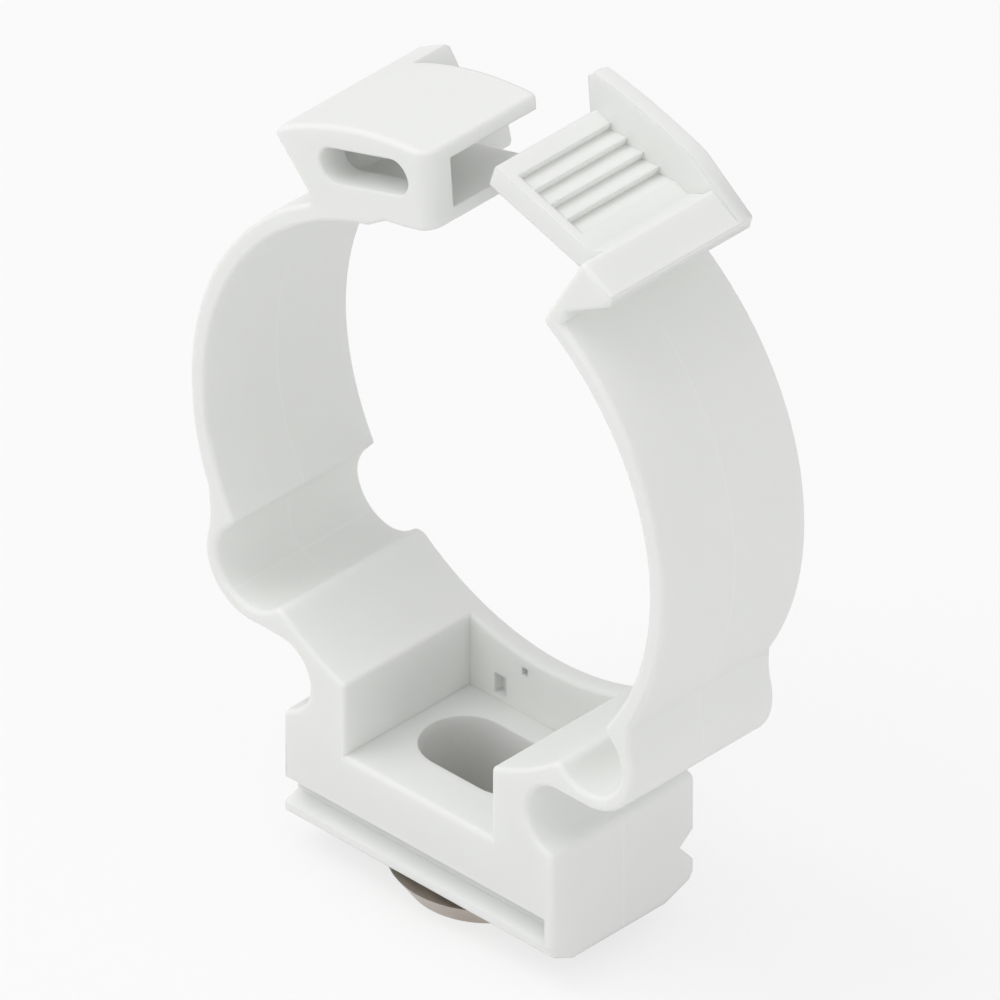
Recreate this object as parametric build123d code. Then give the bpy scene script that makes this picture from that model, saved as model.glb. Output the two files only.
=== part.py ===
from build123d import *
import math
import os

os.makedirs("parts", exist_ok=True)

# Pipe clip: one moulding of springy plastic that snaps round a pipe, and the metal nut it is fixed by.
# X runs across the clip, Y along the pipe and Z away from the wall. The origin is the middle of the
# base's underside, the face that goes on the wall, and the front is at -Y. Sizes are in millimetres.

# Ring: two arms that stand open, both leaning to +X about the waists above their spring loops
pipe_radius = 25.0
band = 1.7
depth = 16.7
seat_height = 15.1
arm_lean = 3.75
left_arm_end = 105.2
right_arm_end = 58.6

# Spring loops between the seat and the arms, their webs measured out and up from the waist
loop_bore = 3.8
loop_wall = 1.35
loop_spread = 19.05
loop_height = 22.95
waist_spread = 21.9
waist_height = 26.0
web_outline = [(2.05, 3.2), (1.9, 1.4), (1.85, 0.0), (2.05, -1.6), (2.25, -2.8)]
web_inside = 1.5
rim_round = 1.0

# Base
base_width = 30.6
base_height = 11.6
corner_round = 0.9
front_round = 0.45
rear_chamfer = 0.3
seat_round = 0.4
notch_radius = 3.4
notch_spread = 15.75
recess_width = 16.7
recess_floor = 9.6
back_wall = 2.0
slot_width = 7.7
slot_length = 13.1
core_pocket = 3.2
core_wall = 2.0
core_length = 10.0
core_roof = 2.4
pits = [(-4.9, 11.1, 1.3, 1.9), (-2.1, 13.7, 0.6, 0.7)]
pit_depth = 0.9

# Linking profile along the foot of the base
groove_depth = 1.75
groove_top = 4.5
groove_floor = 2.9
groove_foot = 2.3
lip_top = 1.75
lip_nose = 1.05
lip_back = 0.15
lip_run = 2.4
bead_top = 6.1
bead_depth = 1.85
bead_waist = 4.65
bead_nose_top = 2.6
bead_nose = 2.0
bead_back = 0.1
bead_under = 0.75
bead_run = 3.55
groove_stop = 0.9

# Box on the left arm, measured along the arm's end and out from the pipe
box_wall = 2.8
box_roof = 1.6
box_reach = 7.65
box_under = [(2.2, 0.75), (4.5, 0.6)]
box_rise = 0.55
box_mouth_lean = 1.35
box_height = 7.75
box_crown = 8.7
box_crown_along = 2.5
box_back_height = 7.35
box_open = 12.7
box_floor = 1.35
box_end = 5.0
box_clear = 2.0
box_rear = [(-5.25, 8.5), (-4.4, 6.3), (-3.4, 2.0)]
lip_reach = 8.95
lip_height = 6.75
lip_foot = 6.4
mouth_round = 1.6
window_length = 10.1
window_height = 3.1
window_along = 1.0
window_out = 5.0
window_tilt = 1.7
window_chamfer = 0.25
catch_count = 3
catch_start = 0.9

# Tongue and thumb ridge on the right arm, measured in the same way
ridge_height = 8.95
ridge_lean = 0.2
ridge_reach = 3.6
ridge_lip = 1.15
ridge_root = 3.2
ridge_foot = 1.35
tongue_reach = 12.05
tongue_tip = 3.65
tongue_root = 6.6
tongue_thickness = 2.1
tongue_gap = 3.3
cheek = 1.75
cheek_top = [(13.9, 6.5), (8.4, 8.35), (3.0, 9.6)]
cheek_nose = (14.3, 5.6)
cheek_foot = (11.05, 1.1)
tooth_pitch = 1.9
tooth_count = 4
tooth_depth = 0.75
tooth_run = 1.75
tooth_start = 1.8
tooth_margin = 1.0
ramp_run = 1.5
ramp_drop = 0.9
end_round = 0.7
thumb_round = 0.5

# Nut under the base, keyed into the slot
nut_overhang = 0.05
nut_height = 2.25
nut_taper = 1.55
key_clearance = 0.05
key_height = 2.2
thread_bore = 5.0
bore_chamfer = 0.6

# Places worked out from the sizes above
outer_radius = pipe_radius + band
shoulder_height = loop_height - loop_bore - loop_wall
notch_height = shoulder_height - notch_radius
ring_centre = (0.0, seat_height + pipe_radius)
front = -depth / 2
rear = depth / 2
half_width = base_width / 2
recess_back = rear - back_wall
box_front = front + box_wall
box_back = front + box_open
cheek_inside = rear - cheek
tongue_front = front + tongue_gap
nut_radius = depth / 2 + nut_overhang
nut_foot_radius = nut_radius - nut_taper


def polar(centre, radius, angle):
    """A point of the front plane, from a centre, a radius and an angle in degrees."""
    turn = math.radians(angle)
    return (centre[0] + radius * math.cos(turn), centre[1] + radius * math.sin(turn))


def outline(*points):
    """A closed outline with straight sides."""
    return make_face(Polyline(*points, close=True))


def block(x_from, x_to, z_from, z_to):
    """A rectangular outline in the front plane."""
    return outline((x_from, z_from), (x_to, z_from), (x_to, z_to), (x_from, z_to))


def disc(centre, radius):
    """A round outline in the front plane."""
    return Pos(centre[0], centre[1]) * Circle(radius)


def band_stretch(centre, inner, outer, start, end):
    """A stretch of curved band between two angles."""
    inside = CenterArc(centre, inner, start, end - start)
    outside = CenterArc(centre, outer, start, end - start)
    return make_face([inside, outside, Line(inside @ 0, outside @ 0), Line(inside @ 1, outside @ 1)])


def prism(face, y_from=front, y_to=rear):
    """Extrudes an outline of the front plane between two depths."""
    plane = Plane(origin=(0, y_to, 0), x_dir=(1, 0, 0), z_dir=(0, -1, 0))
    return extrude(plane * face, amount=y_to - y_from)


def run(face, x_from, x_to):
    """Extrudes an outline drawn in Y and Z between two places across the clip."""
    plane = Plane(origin=(x_from, 0, 0), x_dir=(0, 1, 0), z_dir=(1, 0, 0))
    return extrude(plane * face, amount=x_to - x_from)


class Arm:
    """One arm of the ring: its leaning centre, its waist and the frame of its inner end corner."""

    def __init__(self, side, end_angle):
        lean = math.radians(arm_lean)
        across = -side * waist_spread
        up = ring_centre[1] - waist_height
        self.side = side
        self.waist = (side * waist_spread, waist_height)
        self.centre = (side * waist_spread + across * math.cos(lean) + up * math.sin(lean),
                       waist_height - across * math.sin(lean) + up * math.cos(lean))
        self.end_angle = end_angle
        self.corner = polar(self.centre, pipe_radius, end_angle)
        self.out = polar((0, 0), 1, end_angle)
        self.along = (-side * self.out[1], side * self.out[0])

    def band(self):
        """The curved band, from its end down to its waist."""
        below = math.degrees(math.atan2(self.waist[1] - self.centre[1], self.waist[0] - self.centre[0]))
        if self.side < 0:
            below += 360
        return band_stretch(self.centre, pipe_radius, outer_radius, self.end_angle, below)

    def at(self, along, out):
        """A point given along the arm's end, past its corner, and out from the pipe."""
        return (self.corner[0] + self.along[0] * along + self.out[0] * out,
                self.corner[1] + self.along[1] * along + self.out[1] * out)

    def reach_of(self, edge):
        """How far along the arm's end the middle of an edge lies."""
        middle = edge.center()
        return (middle.X - self.corner[0]) * self.along[0] + (middle.Z - self.corner[1]) * self.along[1]

    def rise_of(self, edge):
        """How far out from the pipe the middle of an edge lies."""
        middle = edge.center()
        return (middle.X - self.corner[0]) * self.out[0] + (middle.Z - self.corner[1]) * self.out[1]

    def outline(self, *points):
        """A closed outline with straight sides, in the arm's own frame."""
        return outline(*[self.at(*point) for point in points])

    def arched(self, arc, *points):
        """A closed outline whose first side is an arc through three points."""
        places = [self.at(*point) for point in points]
        ends = [self.at(*arc[2])] + places + [self.at(*arc[0])]
        return make_face([ThreePointArc(*[self.at(*point) for point in arc]), Polyline(*ends)])


left_arm = Arm(-1, left_arm_end)
right_arm = Arm(1, right_arm_end)


def waist_fill(arm):
    """The small corner between the arm's inner face and the bore of its spring loop."""
    side = arm.side
    turn = math.degrees(math.atan2(arm.waist[1] - arm.centre[1], arm.waist[0] - arm.centre[0]))
    above = polar(arm.centre, pipe_radius, turn)
    below = polar((side * loop_spread, loop_height), loop_bore,
                  math.degrees(math.atan2(waist_height - loop_height, side * (waist_spread - loop_spread))))
    return outline(above, (side * (waist_spread + 0.4), waist_height + 0.2), below)


def loop(side):
    """One spring loop, open to the inside of the ring, with the web that stiffens its waist."""
    centre = (side * loop_spread, loop_height)
    start = math.degrees(math.atan2(waist_height - loop_height, waist_spread - loop_spread))
    if side > 0:
        curve = band_stretch(centre, loop_bore, loop_bore + loop_wall, -92, start)
    else:
        curve = band_stretch(centre, loop_bore, loop_bore + loop_wall, 180 - start, 272)
    edge_points = [(side * (waist_spread + out), waist_height + up) for out, up in web_outline]
    top = edge_points[0]
    bottom = edge_points[-1]
    web_start = waist_spread + web_inside
    inside = [bottom, (side * web_start, bottom[1]), (side * (waist_spread + 0.4), waist_height),
              (side * (web_start - 0.2), top[1]), top]
    web = make_face([Spline(*edge_points), Polyline(*inside)])
    return curve + web


def foot_front():
    """The base, its neck and the seat, as seen from the front."""
    foot = block(-half_width, half_width, 0, base_height)
    neck = block(-notch_spread, notch_spread, base_height, loop_height)
    seat = block(-loop_spread, loop_spread, shoulder_height, loop_height)
    shape = foot + neck + seat - disc(ring_centre, pipe_radius)
    for side in (-1, 1):
        shape -= disc((side * notch_spread, notch_height), notch_radius)
        shape -= disc((side * loop_spread, loop_height), loop_bore)
    return shape


def box_front_face():
    """The outline of the box that the tongue is pushed into."""
    mouth = box_reach + box_mouth_lean
    crown = [(mouth, box_height), (box_crown_along, box_crown), (-lip_reach + 0.5, box_back_height)]
    return left_arm.arched(crown, (-lip_reach, lip_height), (-lip_foot, box_floor + box_rise),
                           (-lip_foot - 0.2, 0.6), (-1.0, 0.4), (0, 0), *box_under, (box_reach, box_rise))


def ridge_face():
    """The outline of the thumb ridge on the right arm."""
    return right_arm.outline((0, 0), (ridge_lean, ridge_height), (-ridge_reach, ridge_height),
                             (-ridge_reach - 0.3, ridge_height - ridge_lip), (-ridge_foot, ridge_root),
                             (-ridge_foot - 0.3, 0.8), (-1.0, 0.4))


def clip_front():
    """Everything that runs through the whole depth of the clip."""
    shape = foot_front() + box_front_face() + ridge_face()
    for arm in (left_arm, right_arm):
        shape += arm.band()
        shape += loop(arm.side)
        shape += waist_fill(arm)
    return shape


def base_cuts():
    """The recess, the slot, the coring, the pits and the linking profile."""
    slot = extrude(SlotOverall(slot_length, slot_width), amount=recess_floor + 1)
    cuts = [slot]
    for side in (-1, 1):
        middle = side * (half_width - core_wall - core_pocket / 2)
        cuts.append(Pos(middle, 0, 0) * Box(core_pocket, core_length, 2 * (base_height - core_roof)))
    for across, up, width, height in pits:
        cuts.append(Pos(across, recess_back, up) * Box(width, 2 * pit_depth, height))
    groove = outline((front - 1, groove_top), (front, groove_top), (front + groove_depth, groove_floor),
                     (front + groove_depth, groove_foot), (front + lip_back, lip_top), (front - 1, lip_top))
    cuts.append(run(groove, -half_width - 1, half_width - groove_stop))
    under_lip = outline((front - 1, lip_top), (front + lip_back, lip_top), (front + lip_back, lip_nose),
                        (front + lip_run, 0), (front + lip_run, -1), (front - 1, -1))
    cuts.append(run(under_lip, -half_width - 1, half_width + 1))
    over_bead = outline((rear + 1, bead_top), (rear, bead_top), (rear - bead_depth, bead_waist),
                        (rear - bead_back, bead_nose_top), (rear + 1, bead_nose_top))
    cuts.append(run(over_bead, -half_width + groove_stop, half_width + 1))
    under_bead = outline((rear + 1, bead_nose_top), (rear - bead_back, bead_nose_top),
                         (rear - bead_back, bead_nose), (rear - bead_under, bead_nose / 2),
                         (rear - bead_run, 0), (rear - bead_run, -1), (rear + 1, -1))
    cuts.append(run(under_bead, -half_width - 1, half_width + 1))
    return cuts


def box_cuts():
    """What is taken out of the box: its inside, its open rear and its window."""
    arm = left_arm
    mouth = box_reach + box_mouth_lean
    roof = [(mouth + box_clear, box_height - box_roof - 0.3), (box_crown_along, box_crown - box_roof),
            (-box_end, box_back_height - box_roof + 0.6)]
    inside = arm.arched(roof, (-box_end, box_rise + box_floor), (box_reach + box_clear, box_rise + box_floor))
    cavity = prism(inside, box_front, box_back + 1)
    past_mouth = mouth + box_clear
    open_rear = arm.outline((box_rear[0][0], 20), *box_rear, (0.2, box_rear[-1][1]), (0.2, -3),
                            (past_mouth, -3), (past_mouth, 20))
    behind = prism(open_rear, box_back, rear + 1)
    middle = arm.at(window_along, window_out)
    slope = math.degrees(math.atan2(arm.along[1], arm.along[0])) + window_tilt
    slot = Pos(middle[0], middle[1]) * Rot(0, 0, slope) * SlotOverall(window_length, window_height)
    return [cavity, behind, prism(slot, front - 1, box_front + 0.5)]


def roof_middle(along):
    """How far out the middle of the box's roof lies, on the chord from its mouth to its crown."""
    mouth = box_reach + box_mouth_lean
    rise = (box_crown - box_height) * (mouth - along) / (mouth - box_crown_along)
    return box_height + rise - box_roof / 2


def box_catches():
    """The teeth that hang from the middle of the box's roof and catch the tongue's grooves."""
    arm = left_arm
    mouth = box_reach + box_mouth_lean
    catches = []
    for number in range(catch_count):
        place = mouth - catch_start - number * tooth_pitch
        under = box_height - box_roof + 0.12 * (mouth - place)
        far = place - tooth_run
        tooth = arm.outline((place, roof_middle(place)), (place, under), (far, under - tooth_depth),
                            (far, roof_middle(far)))
        catches.append(prism(tooth, box_front + tooth_margin, box_back - tooth_margin))
    return catches


def tongue():
    """The toothed tongue, with the cheek that closes its rear side."""
    arm = right_arm
    fall = math.hypot(tongue_reach, tongue_root - tongue_tip)
    dip = ((tongue_root - tongue_tip) / fall, tongue_reach / fall)
    top_root = (0.2, tongue_root)
    top_tip = (tongue_reach, tongue_tip)
    low_tip = (top_tip[0] - dip[0] * tongue_thickness, top_tip[1] - dip[1] * tongue_thickness)
    low_root = (top_root[0] - dip[0] * tongue_thickness - 0.1, top_root[1] - dip[1] * tongue_thickness)
    blade = prism(arm.outline(top_root, top_tip, low_tip, low_root), tongue_front, cheek_inside + 0.5)
    ramp_foot = tongue_root - (tongue_root - tongue_tip) * ramp_run / tongue_reach
    ramp_top = ridge_height - ramp_drop
    ramp = arm.outline((-0.5, ramp_top), (ridge_lean, ramp_top), (ramp_run, ramp_foot),
                       (ramp_run, ramp_foot - 1), (-0.5, tongue_root - 1))
    blade += prism(ramp, tongue_front, cheek_inside + 0.5)
    wall = arm.arched(cheek_top, (-ridge_reach, ridge_height), (0, 0.4), cheek_foot, cheek_nose)
    side = prism(wall, cheek_inside, rear)
    toward_root = (-tongue_reach / fall, (tongue_root - tongue_tip) / fall)
    grooves = []
    groove_front = tongue_front + tooth_margin
    for number in range(tooth_count):
        start = tooth_start + number * tooth_pitch
        crest = (top_tip[0] + toward_root[0] * start, top_tip[1] + toward_root[1] * start)
        far = (crest[0] + toward_root[0] * tooth_run, crest[1] + toward_root[1] * tooth_run)
        above = (crest[0] + dip[0], crest[1] + dip[1])
        far_above = (far[0] + dip[0], far[1] + dip[1])
        deep = (crest[0] - dip[0] * tooth_depth, crest[1] - dip[1] * tooth_depth)
        grooves.append(prism(arm.outline(above, crest, deep, far, far_above), groove_front, cheek_inside))
    return blade, side, grooves


def long_edges(solid, places):
    """The edges along the depth that pass through given points of the front plane."""
    found = []
    for edge in solid.edges().filter_by(Axis.Y):
        middle = edge.center()
        if any(math.hypot(middle.X - x, middle.Z - z) < 0.05 for x, z in places):
            found.append(edge)
    return found


def trough_rims():
    """Where the seat meets the bores of the spring loops: two circles' crossings."""
    across = loop_spread
    up = ring_centre[1] - loop_height
    apart = math.hypot(across, up)
    to_chord = (apart ** 2 + pipe_radius ** 2 - loop_bore ** 2) / (2 * apart)
    half_chord = math.sqrt(pipe_radius ** 2 - to_chord ** 2)
    toward = (across / apart, -up / apart)
    x = toward[0] * to_chord + toward[1] * half_chord
    z = ring_centre[1] + toward[1] * to_chord - toward[0] * half_chord
    return [(x, z), (-x, z)]


def face_edges(solid, depth_of_face):
    """The edges that lie wholly in the front plane or the rear plane."""
    level = solid.edges().filter_by(lambda edge: abs(edge.center().Y - depth_of_face) < 0.001)
    return level.filter_by(lambda edge: abs((edge @ 0.1).Y - depth_of_face) < 0.001)


def at_mouth(edge):
    """Whether an edge lies at the open end of the box."""
    return box_reach - 1.5 < left_arm.reach_of(edge) < box_reach + box_mouth_lean + 1


def upright_at_mouth(edge):
    """Whether an edge stands up at the open end of the box."""
    return at_mouth(edge) and box_floor < left_arm.rise_of(edge) < box_height - box_roof


def softened(solid):
    """The moulding with its outside edges rounded, the large rounds first."""
    dip = notch_height - math.sqrt(notch_radius ** 2 - (notch_spread - half_width) ** 2)
    solid = fillet(long_edges(solid, trough_rims()), rim_round)
    solid = fillet(long_edges(solid, [(half_width, dip), (-half_width, dip)]), corner_round)
    solid = fillet(long_edges(solid, [right_arm.corner]), end_round)
    solid = fillet(long_edges(solid, [right_arm.at(ridge_lean, ridge_height)]), thumb_round)
    seat_level = ring_centre[1] - math.sqrt(pipe_radius ** 2 - (recess_width / 2) ** 2)
    rims = long_edges(solid, [(recess_width / 2, seat_level), (-recess_width / 2, seat_level)])
    rear_rim = solid.edges().filter_by(lambda edge: abs(edge.center().Y - recess_back) < 0.001)
    solid = fillet(rims + list(rear_rim.filter_by(GeomType.CIRCLE)), seat_round)
    solid = fillet(face_edges(solid, front).filter_by(upright_at_mouth), mouth_round)
    mouth = box_reach + box_mouth_lean
    outer = [edge for edge in face_edges(solid, front) if not upright_at_mouth(edge)]
    round_ends = solid.edges().filter_by(lambda edge: front + 0.2 < edge.center().Y < front + mouth_round - 0.2)
    outer += [edge for edge in round_ends if at_mouth(edge) and edge.geom_type != GeomType.LINE]
    lip = left_arm.at(-lip_reach + 0.5, box_back_height)
    outer += long_edges(solid, [left_arm.at(mouth, box_height), left_arm.at(box_reach, box_rise), lip])
    solid = fillet(outer, front_round)
    return chamfer(face_edges(solid, rear), rear_chamfer)


recess_front = block(-recess_width / 2, recess_width / 2, recess_floor, loop_height)
body = prism(clip_front())
body -= prism(recess_front, front - 1, recess_back)
blade, side_wall, grooves = tongue()
body += blade
body += side_wall
body = softened(body)
for cut in base_cuts() + box_cuts() + grooves:
    body -= cut
for catch in box_catches():
    body += catch
window_rim = face_edges(body, front).filter_by(lambda edge: box_floor < left_arm.rise_of(edge) < box_height)
window_rim = window_rim.filter_by(lambda edge: abs(left_arm.reach_of(edge) - window_along) < window_length / 2)
body = chamfer(window_rim, window_chamfer)

nut_flare = math.degrees(math.atan((nut_radius - nut_foot_radius) / nut_height))
nut = extrude(Circle(nut_foot_radius), amount=nut_height, taper=-nut_flare)
nut = Pos(0, 0, -nut_height) * nut
key_length = slot_length - 2 * key_clearance
key_width = slot_width - 2 * key_clearance
nut += extrude(SlotOverall(key_length, key_width), amount=key_height)
nut -= Pos(0, 0, -nut_height - 1) * extrude(Circle(thread_bore / 2), amount=nut_height + key_height + 2)
rims = nut.edges().filter_by(GeomType.CIRCLE)
nut = chamfer(rims.filter_by(lambda edge: abs(edge.radius - thread_bore / 2) < 0.01), bore_chamfer)

export_step(body, "parts/clip_body.step")
export_step(nut, "parts/fixing_nut.step")
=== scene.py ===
# %% [markdown]
# # A pipe clip, dressed for a photograph
# The clip is one moulding of pale springy plastic: two curved arms on spring loops, a box and a
# toothed tongue that snap together over the pipe, and a square base with a metal nut under it. Its
# solids come packed from CAD, in metres, and this lesson dresses them: it joins and shades the
# moulding's facets, cuts the nut's thread, gives both pieces their finishes, and sets up the floor,
# the lamps and the camera. Nothing else is read from disk.

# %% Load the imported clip
import math

import bmesh
import bpy
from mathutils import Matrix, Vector


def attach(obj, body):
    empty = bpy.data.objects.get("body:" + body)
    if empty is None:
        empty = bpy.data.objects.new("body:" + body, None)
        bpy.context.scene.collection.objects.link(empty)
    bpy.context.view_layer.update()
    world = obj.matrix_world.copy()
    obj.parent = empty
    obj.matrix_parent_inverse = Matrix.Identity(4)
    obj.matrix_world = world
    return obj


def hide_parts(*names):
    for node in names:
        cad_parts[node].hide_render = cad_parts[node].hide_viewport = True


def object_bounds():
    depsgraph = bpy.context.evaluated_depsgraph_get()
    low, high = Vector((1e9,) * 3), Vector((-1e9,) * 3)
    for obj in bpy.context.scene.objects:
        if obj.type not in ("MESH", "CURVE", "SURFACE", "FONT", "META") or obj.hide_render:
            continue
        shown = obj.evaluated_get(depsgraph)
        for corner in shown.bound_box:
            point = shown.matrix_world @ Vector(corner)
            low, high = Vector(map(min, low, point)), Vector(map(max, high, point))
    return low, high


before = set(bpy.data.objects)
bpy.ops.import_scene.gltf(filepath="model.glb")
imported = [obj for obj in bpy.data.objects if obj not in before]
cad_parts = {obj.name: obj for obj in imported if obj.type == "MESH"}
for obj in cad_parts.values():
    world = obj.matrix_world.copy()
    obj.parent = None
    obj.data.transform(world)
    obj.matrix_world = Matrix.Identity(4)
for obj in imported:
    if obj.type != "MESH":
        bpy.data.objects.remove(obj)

MM = 0.001
cad_box = [[float(value) for value in corner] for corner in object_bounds()]
print("nodes", sorted(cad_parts), "box in mm", [[round(v / MM, 1) for v in c] for c in cad_box])

# %% [markdown]
# ## The moulding
# The real clip comes out of its tool with every outside edge softly rounded, and those thin rounds
# catch the light. The solid already has its rounds, cut into narrow strips of facets. The packed
# mesh is loose triangles with normals of their own. So a copy drops those normals, its points are
# merged, and triangles that lie in one plane are joined into one large face. New normals, weighted by
# area, are then spread over each turn of less than 50 degrees: the strips shade as one round, and
# flat faces stay flat up to their edges. A Bevel modifier was the other way, but on a mesh from CAD
# it leaves slits at its many small facets.

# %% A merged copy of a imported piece
MERGE_DISTANCE = 0.0005 * MM
ONE_PLANE = math.radians(0.3)


def merged_copy(node, name):
    """A new object with the node's own shape, as one joined mesh without its old normals."""
    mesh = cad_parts[node].data.copy()
    mesh.name = name
    mesh.materials.clear()
    mesh.attributes.remove(mesh.attributes["custom_normal"])
    piece = bpy.data.objects.new(name, mesh)
    bpy.context.scene.collection.objects.link(piece)
    work = bmesh.new()
    work.from_mesh(mesh)
    bmesh.ops.remove_doubles(work, verts=work.verts, dist=MERGE_DISTANCE)
    bmesh.ops.dissolve_limit(work, angle_limit=ONE_PLANE, verts=work.verts, edges=work.edges)
    loose = [edge for edge in work.edges if len(edge.link_faces) != 2]
    print(name, "has", len(work.faces), "faces and", len(loose), "edges that aren't closed")
    work.to_mesh(mesh)
    work.free()
    return piece

# %% Soft shading, and the dressed piece in its node's place
AREA_WEIGHT = 80


def shaded_softly(piece, turn):
    """Smooth shading over every edge that turns by less than so many degrees."""
    piece.data.update()
    piece.data.shade_smooth()
    piece.data.set_sharp_from_angle(angle=math.radians(turn))
    print(piece.name, "keeps", sum(edge.use_edge_sharp for edge in piece.data.edges), "sharp edges")
    weighted = piece.modifiers.new("even_shading", "WEIGHTED_NORMAL")
    weighted.keep_sharp = True
    weighted.weight = AREA_WEIGHT


def stands_for(piece, node):
    """The dressed piece rides on the part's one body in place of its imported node."""
    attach(piece, "root")
    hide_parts(node)

# %% Dress the moulding's shape
MOULDING_TURN = 50
moulding = merged_copy("clip_body", "moulding")
shaded_softly(moulding, MOULDING_TURN)
stands_for(moulding, "clip_body")

# %% [markdown]
# ## The nut and its thread
# The nut is a turned flange with a tapped hole for an M6 stud, and a key that stops it turning in
# the clip's slot. The solid has a plain bore as wide as the thread's crests. Here the bore is
# widened to the thread's roots, and one ridge is wound up inside it. Spin turns a profile round an
# axis, and a small climb at each step makes a helix of it. What stands past the nut's faces is cut
# off, and the first and last turns are pushed out to the countersink, as a real tap leaves them.

# %% Widen the bore
THREAD_CREST = 2.5 * MM
THREAD_ROOT = 3.0 * MM
THREAD_PITCH = 1.0 * MM
COUNTERSINK = 0.6 * MM
TOLERANCE = 0.02 * MM

nut = merged_copy("fixing_nut", "threaded_nut")
nut_low = min(vertex.co.z for vertex in nut.data.vertices)
nut_high = max(vertex.co.z for vertex in nut.data.vertices)
nut_work = bmesh.new()
nut_work.from_mesh(nut.data)
bore_rings = [vertex for vertex in nut_work.verts if abs(vertex.co.xy.length - THREAD_CREST) < TOLERANCE]
wider = THREAD_ROOT / THREAD_CREST
bmesh.ops.scale(nut_work, vec=(wider, wider, 1), verts=bore_rings)
print("bore rings", len(bore_rings), "points, widened to", round(THREAD_ROOT / MM, 2), "mm")

# %% Wind the ridge
STEPS_PER_TURN = 36
RIDGE_FOOT = THREAD_ROOT + 0.03 * MM
turns = math.ceil((nut_high - nut_low) / THREAD_PITCH) + 2
half_crest = THREAD_PITCH / 8
half_root = THREAD_PITCH * 7 / 16
ridge = bmesh.new()
profile = [(RIDGE_FOOT, -half_root), (THREAD_CREST, -half_crest), (THREAD_CREST, half_crest),
           (RIDGE_FOOT, half_root)]
corners = [ridge.verts.new((radius, 0, nut_low - THREAD_PITCH + height)) for radius, height in profile]
outline = [ridge.edges.new((corners[k], corners[(k + 1) % len(corners)])) for k in range(len(corners))]
bmesh.ops.spin(ridge, geom=corners + outline, cent=(0, 0, 0), axis=(0, 0, 1), angle=2 * math.pi * turns,
               steps=STEPS_PER_TURN * turns, dvec=(0, 0, THREAD_PITCH / STEPS_PER_TURN), use_merge=False)
print("ridge of", turns, "turns,", len(ridge.faces), "faces")

# %% Trim the ridge at the nut's faces and open its mouths
for level, side in [(nut_low + TOLERANCE, -1), (nut_high - TOLERANCE, 1)]:
    everything = ridge.verts[:] + ridge.edges[:] + ridge.faces[:]
    cut = bmesh.ops.bisect_plane(ridge, geom=everything, plane_co=(0, 0, level), plane_no=(0, 0, side),
                                 clear_outer=True)
    cut_edges = [part for part in cut["geom_cut"] if isinstance(part, bmesh.types.BMEdge)]
    bmesh.ops.holes_fill(ridge, edges=cut_edges)
for vertex in ridge.verts:
    depth = min(vertex.co.z - nut_low, nut_high - vertex.co.z)
    mouth = THREAD_CREST + COUNTERSINK - depth
    radius = vertex.co.xy.length
    if radius < mouth:
        vertex.co.xy *= min(mouth, RIDGE_FOOT) / radius
bmesh.ops.recalc_face_normals(ridge, faces=ridge.faces)
print("trimmed thread", len(ridge.faces), "faces")

# %% Put both into the nut's mesh
NUT_TURN = 35
ridge_mesh = bpy.data.meshes.new("thread_ridge")
ridge.to_mesh(ridge_mesh)
ridge.free()
nut_work.from_mesh(ridge_mesh)
nut_work.to_mesh(nut.data)
nut_work.free()
bpy.data.meshes.remove(ridge_mesh)
shaded_softly(nut, NUT_TURN)
stands_for(nut, "fixing_nut")

# %% [markdown]
# ## Node helpers
# Both finishes are made of nodes on Object coordinates. Every piece sits at the origin in metres,
# so a pattern's size is its real size. A few small helpers keep the wiring short.

# %% Helpers for materials
def new_material(name):
    """A new node material with its shader and its nodes."""
    material = bpy.data.materials.new(name)
    material.use_nodes = True
    nodes = material.node_tree.nodes
    return material, nodes["Principled BSDF"], nodes


def link(material, start, end):
    """Joins one socket to another."""
    material.node_tree.links.new(start, end)


def math_node(material, operation, first, second=None, clamp=False):
    """A Math node on sockets or numbers."""
    node = material.node_tree.nodes.new("ShaderNodeMath")
    node.operation = operation
    node.use_clamp = clamp
    for number, value in enumerate([first, second]):
        if value is None:
            continue
        if hasattr(value, "is_output"):
            link(material, value, node.inputs[number])
        else:
            node.inputs[number].default_value = value
    return node.outputs[0]

# %% Helpers for patterns and colours
def noise(material, place, scale, detail=3.0, roughness=0.5):
    """Noise whose grains are about one over scale of a metre."""
    node = material.node_tree.nodes.new("ShaderNodeTexNoise")
    node.inputs["Scale"].default_value = scale
    node.inputs["Detail"].default_value = detail
    node.inputs["Roughness"].default_value = roughness
    link(material, place, node.inputs["Vector"])
    return node.outputs["Fac"]


def mixed_colour(material, factor, first, second):
    """A colour between two, by a factor. Either may be a socket."""
    node = material.node_tree.nodes.new("ShaderNodeMix")
    node.data_type = "RGBA"
    for letter, colour in [("A", first), ("B", second)]:
        if hasattr(colour, "is_output"):
            link(material, colour, node.inputs[letter])
        else:
            node.inputs[letter].default_value = (*colour, 1)
    link(material, factor, node.inputs["Factor"])
    return node.outputs["Result"]

# %% Helpers for surface detail
def bumped(material, shader, height, strength, distance, under=None):
    """A Bump node from a height onto the shader, over the normal of another node where one is given."""
    node = material.node_tree.nodes.new("ShaderNodeBump")
    if under is not None:
        link(material, under, node.inputs["Normal"])
    node.inputs["Strength"].default_value = strength
    node.inputs["Distance"].default_value = distance
    link(material, height, node.inputs["Height"])
    link(material, node.outputs["Normal"], shader.inputs["Normal"])


def thin_line(material, value, middle, half_width):
    """1 where a value is at the middle, falling to 0 at half a width to either side."""
    away = math_node(material, "ABSOLUTE", math_node(material, "SUBTRACT", value, middle))
    return math_node(material, "SUBTRACT", 1.0, math_node(material, "DIVIDE", away, half_width), clamp=True)

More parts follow.
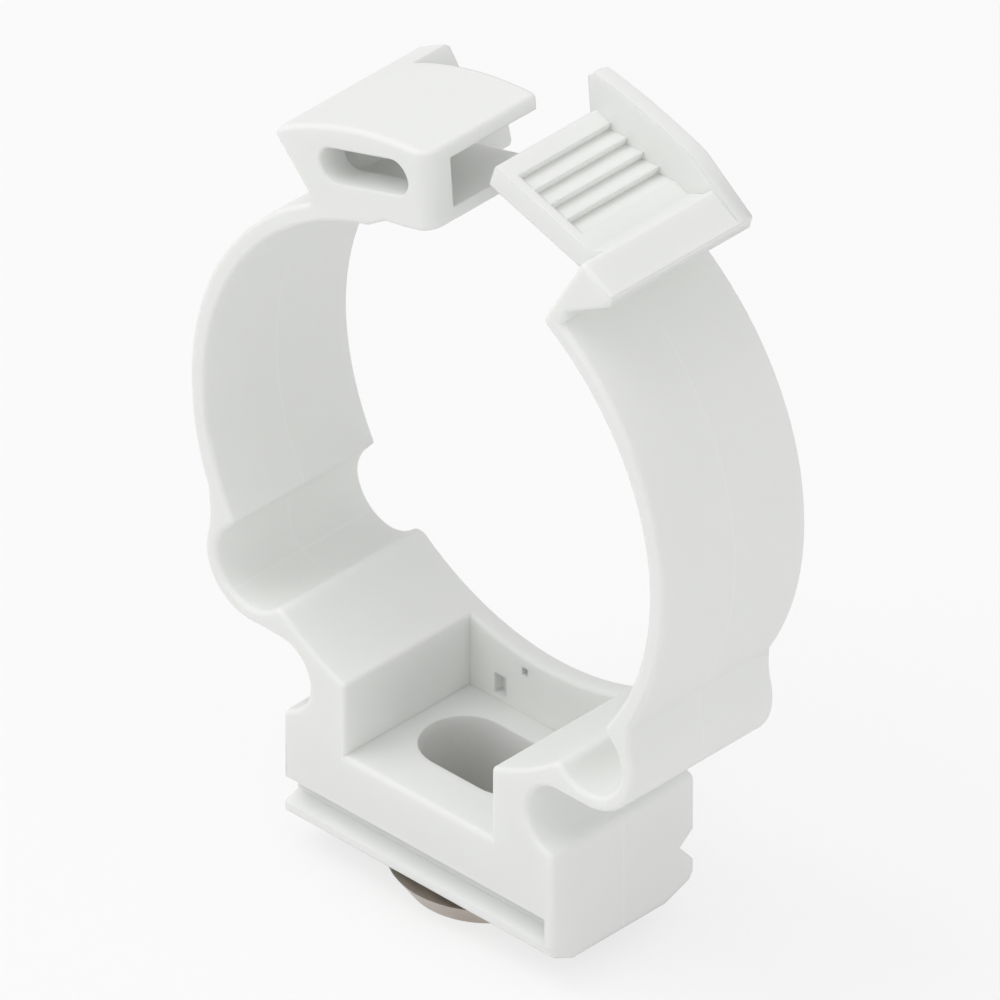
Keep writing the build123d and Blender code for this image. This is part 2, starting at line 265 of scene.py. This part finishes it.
# %% [markdown]
# ## The plastic
# The clip is polyamide or polypropylene in a very pale grey with a trace of green. It is satin, with
# a broad soft sheen and no mirror, and light goes a little way into it. Moulded faces carry a very
# fine grain and slow waves where the plastic shrank. Two faint traces of the tool are left on it: a
# parting line at half the depth, down the arms, the loops and the sides of the base, and a short
# step along the bottom of each trough. Both are fine ridges in a Bump node. Along both, the colour
# is also a shade paler, as a painted highlight for the light their crests catch. The teeth and some
# corners of the solid are sharp, where the real tool leaves a slight radius. A Bevel node under the
# Bump node turns the light there, and the shape stays as it is.

# %% The plastic's colour
PLASTIC_PALE = (0.835, 0.843, 0.828)
PLASTIC_DEEP = (0.805, 0.815, 0.799)
# The paler colour of the tool's lines is a painted highlight, not a colour of the plastic.
PAINTED_HIGHLIGHT_PALE = (0.88, 0.885, 0.87)
CLOUD_SCALE = 70
plastic, shader, nodes = new_material("pale_plastic")
place = nodes.new("ShaderNodeTexCoord").outputs["Object"]
shader.inputs["Roughness"].default_value = 0.48
shader.inputs["IOR"].default_value = 1.46
shader.inputs["Specular IOR Level"].default_value = 0.32
shader.inputs["Subsurface Weight"].default_value = 0.35
shader.inputs["Subsurface Radius"].default_value = (1.0, 1.0, 0.9)
shader.inputs["Subsurface Scale"].default_value = 1.6 * MM
cloudy = noise(plastic, place, CLOUD_SCALE, detail=2)
plain_colour = mixed_colour(plastic, cloudy, PLASTIC_PALE, PLASTIC_DEEP)
print("plastic from", PLASTIC_DEEP, "to", PLASTIC_PALE)

# %% The tool's traces, and a painted highlight along them
ARMS_BEGIN = 14.9 * MM
ARMS_END = 61.0 * MM
TROUGH_STEP = 21.2 * MM
TROUGH_TOP = 21.5 * MM
PARTING_HALF_WIDTH = 0.13 * MM
STEP_HALF_WIDTH = 0.09 * MM
PAINTED_HIGHLIGHT_SHARE = 0.6
split = nodes.new("ShaderNodeSeparateXYZ")
link(plastic, place, split.inputs[0])
outward = math_node(plastic, "ABSOLUTE", split.outputs["X"])
beyond_seat = math_node(plastic, "GREATER_THAN", outward, ARMS_BEGIN)
below_latch = math_node(plastic, "LESS_THAN", split.outputs["Z"], ARMS_END)
on_arms = math_node(plastic, "MULTIPLY", beyond_seat, below_latch)
half_depth = thin_line(plastic, split.outputs["Y"], 0.0, PARTING_HALF_WIDTH)
parting_line = math_node(plastic, "MULTIPLY", half_depth, on_arms)
in_trough = math_node(plastic, "LESS_THAN", split.outputs["Z"], TROUGH_TOP)
bottom_step = thin_line(plastic, outward, TROUGH_STEP, STEP_HALF_WIDTH)
trough_line = math_node(plastic, "MULTIPLY", bottom_step, in_trough)
tool_lines = math_node(plastic, "MAXIMUM", parting_line, trough_line)
painted_highlight_strength = math_node(plastic, "MULTIPLY", tool_lines, PAINTED_HIGHLIGHT_SHARE)
# Painted highlight: the lines are mixed a shade paler in colour for the light their ridges catch.
link(plastic, mixed_colour(plastic, painted_highlight_strength, plain_colour, PAINTED_HIGHLIGHT_PALE), shader.inputs["Base Color"])
print("parting line from", round(ARMS_BEGIN / MM, 1), "mm out, up to", round(ARMS_END / MM, 1), "mm")

# %% The plastic's surface
GRAIN_SCALE, GRAIN_SHARE = 7000, 0.05
WAVE_SCALE, WAVE_SHARE = 120, 0.8
LINE_HEIGHT_SHARE = 0.3
SKIN_HEIGHT = 0.1 * MM
SKIN_STRENGTH = 0.35
EDGE_RADIUS = 0.22 * MM
EDGE_SAMPLES = 6
grain = noise(plastic, place, GRAIN_SCALE, detail=2, roughness=0.6)
waves = noise(plastic, place, WAVE_SCALE, detail=1)
fine_grain = math_node(plastic, "MULTIPLY", grain, GRAIN_SHARE)
shrink_waves = math_node(plastic, "MULTIPLY", waves, WAVE_SHARE)
skin = math_node(plastic, "ADD", fine_grain, shrink_waves)
raised_lines = math_node(plastic, "MULTIPLY", tool_lines, LINE_HEIGHT_SHARE)
height = math_node(plastic, "ADD", skin, raised_lines)
edge_softness = nodes.new("ShaderNodeBevel")
edge_softness.samples = EDGE_SAMPLES
edge_softness.inputs["Radius"].default_value = EDGE_RADIUS
bumped(plastic, shader, height, SKIN_STRENGTH, SKIN_HEIGHT, under=edge_softness.outputs["Normal"])
moulding.data.materials.append(plastic)
print("plastic nodes", len(nodes))

# %% [markdown]
# ## The nut's finish
# The nut is turned steel with a dull, faintly brown plating. Fine rings round its axis are left by
# the lathe, and noise mixes a paler and a browner shade. The flange widens upwards, so its side
# mirrors the pale ground, and what shows of its upper face mirrors the shaded foot of the base.

# %% Turned steel
RING_PITCH = 0.11 * MM
RING_HEIGHT = 0.01 * MM
RING_STRENGTH = 0.2
TARNISH_SCALE = 350
PLATING_PALE = (0.64, 0.59, 0.55)
PLATING_BROWN = (0.40, 0.34, 0.28)
steel, shader, nodes = new_material("plated_steel")
place = nodes.new("ShaderNodeTexCoord").outputs["Object"]
shader.inputs["Metallic"].default_value = 1.0
shader.inputs["Roughness"].default_value = 0.34
split = nodes.new("ShaderNodeSeparateXYZ")
link(steel, place, split.inputs[0])
across = math_node(steel, "POWER", split.outputs["X"], 2.0)
along = math_node(steel, "POWER", split.outputs["Y"], 2.0)
from_axis = math_node(steel, "SQRT", math_node(steel, "ADD", across, along))
rings = math_node(steel, "SINE", math_node(steel, "MULTIPLY", from_axis, 2 * math.pi / RING_PITCH))
tarnish = noise(steel, place, TARNISH_SCALE)
link(steel, mixed_colour(steel, tarnish, PLATING_PALE, PLATING_BROWN), shader.inputs["Base Color"])
bumped(steel, shader, rings, RING_STRENGTH, RING_HEIGHT)
nut.data.materials.append(steel)
print("steel nodes", len(nodes))

# %% [markdown]
# ## Floor and lamps
# The clip was photographed in a bright tent on white. A plain pale floor carries it. The camera sees
# that floor near white through an emission that camera rays meet most and mirrored rays meet less,
# while the floor keeps a soft trace of the shadow. The tent is one even sky, which the camera sees as
# pale as the floor. A wide soft lamp stands high at the left, and two weak ones fill in from the
# front and from the right.

# %% Floor
FLOOR_LEVEL = cad_box[0][2] - 0.1 * MM
GLOW_SEEN = 0.72
GLOW_MIRRORED = 0.5
FLOOR_REACH = 3.0
FLOOR_PALE = (0.84, 0.84, 0.84)
floor_shape = bmesh.new()
bmesh.ops.create_grid(floor_shape, x_segments=1, y_segments=1, size=FLOOR_REACH)
bmesh.ops.translate(floor_shape, vec=(0, 0, FLOOR_LEVEL), verts=floor_shape.verts)
floor_mesh = bpy.data.meshes.new("floor")
floor_shape.to_mesh(floor_mesh)
floor_shape.free()
floor = bpy.data.objects.new("floor", floor_mesh)
bpy.context.scene.collection.objects.link(floor)
print("floor at", round(FLOOR_LEVEL / MM, 2), "mm")

# %% The floor's finish
white_floor, shader, nodes = new_material("white_floor")
shader.inputs["Base Color"].default_value = (*FLOOR_PALE, 1)
shader.inputs["Roughness"].default_value = 0.9
glow = nodes.new("ShaderNodeEmission")
glow.inputs["Strength"].default_value = 1.0
paths = nodes.new("ShaderNodeLightPath")
blend = nodes.new("ShaderNodeMixShader")
seen = math_node(white_floor, "MULTIPLY", paths.outputs["Is Camera Ray"], GLOW_SEEN)
mirrored = math_node(white_floor, "MULTIPLY", paths.outputs["Is Glossy Ray"], GLOW_MIRRORED)
link(white_floor, math_node(white_floor, "MAXIMUM", seen, mirrored), blend.inputs["Fac"])
link(white_floor, shader.outputs[0], blend.inputs[1])
link(white_floor, glow.outputs[0], blend.inputs[2])
link(white_floor, blend.outputs[0], nodes["Material Output"].inputs["Surface"])
floor_mesh.materials.append(white_floor)

# %% Sky
SKY_LIGHT = 0.68
SKY_SEEN = 0.95
world = bpy.data.worlds.new("bright_tent")
bpy.context.scene.world = world
world.use_nodes = True
sky = world.node_tree.nodes["Background"]
sky.inputs["Color"].default_value = (1, 1, 1, 1)
sky_paths = world.node_tree.nodes.new("ShaderNodeLightPath")
sky_seen = math_node(world, "MULTIPLY", sky_paths.outputs["Is Camera Ray"], SKY_SEEN - SKY_LIGHT)
link(world, math_node(world, "ADD", sky_seen, SKY_LIGHT), sky.inputs["Strength"])
print("sky lights at", SKY_LIGHT, "and is seen at", SKY_SEEN)

# %% Lamps
MIDDLE = (0, 0, 0.038)
LAMP_SIZE = 0.6


def soft_lamp(name, place, power):
    """A square area lamp that faces the middle of the clip."""
    lamp = bpy.data.lights.new(name, "AREA")
    lamp.size = LAMP_SIZE
    lamp.energy = power
    lamp_object = bpy.data.objects.new(name, lamp)
    bpy.context.scene.collection.objects.link(lamp_object)
    lamp_object.location = place
    lamp_object.rotation_euler = (Vector(MIDDLE) - Vector(place)).to_track_quat("-Z", "Y").to_euler()
    print(name, "of", power, "W at", place)


soft_lamp("overhead", (-0.30, -0.25, 0.72), 2.35)
soft_lamp("front_fill", (-0.30, -0.75, 0.30), 0.6)
soft_lamp("right_fill", (0.80, -0.10, 0.35), 0.9)

# %% [markdown]
# ## Camera
# The photograph looks down at the clip from its front right corner, from far away, with almost no
# perspective. A very long lens on a distant camera gives the same view.

# %% Camera
AZIMUTH, ELEVATION = math.radians(44.27), math.radians(34.2)
VIEW_CENTRE = Vector((0.644, 0.628, 34.75)) * MM
CAMERA_DISTANCE = 3.24
LENS = 1440
SENSOR = 36
SEEN_UP_TO = 10
toward_camera = Vector((math.sin(AZIMUTH) * math.cos(ELEVATION), -math.cos(AZIMUTH) * math.cos(ELEVATION),
                        math.sin(ELEVATION)))
camera = bpy.data.cameras.new("camera")
camera.lens = LENS
camera.sensor_width = SENSOR
camera.clip_end = SEEN_UP_TO
camera_object = bpy.data.objects.new("camera", camera)
bpy.context.scene.collection.objects.link(camera_object)
camera_object.location = VIEW_CENTRE + toward_camera * CAMERA_DISTANCE
camera_object.rotation_euler = (-toward_camera).to_track_quat("-Z", "Y").to_euler()
bpy.context.scene.camera = camera_object
bpy.context.scene.view_settings.view_transform = "Standard"
print("camera at", [round(value, 3) for value in camera_object.location], "m")
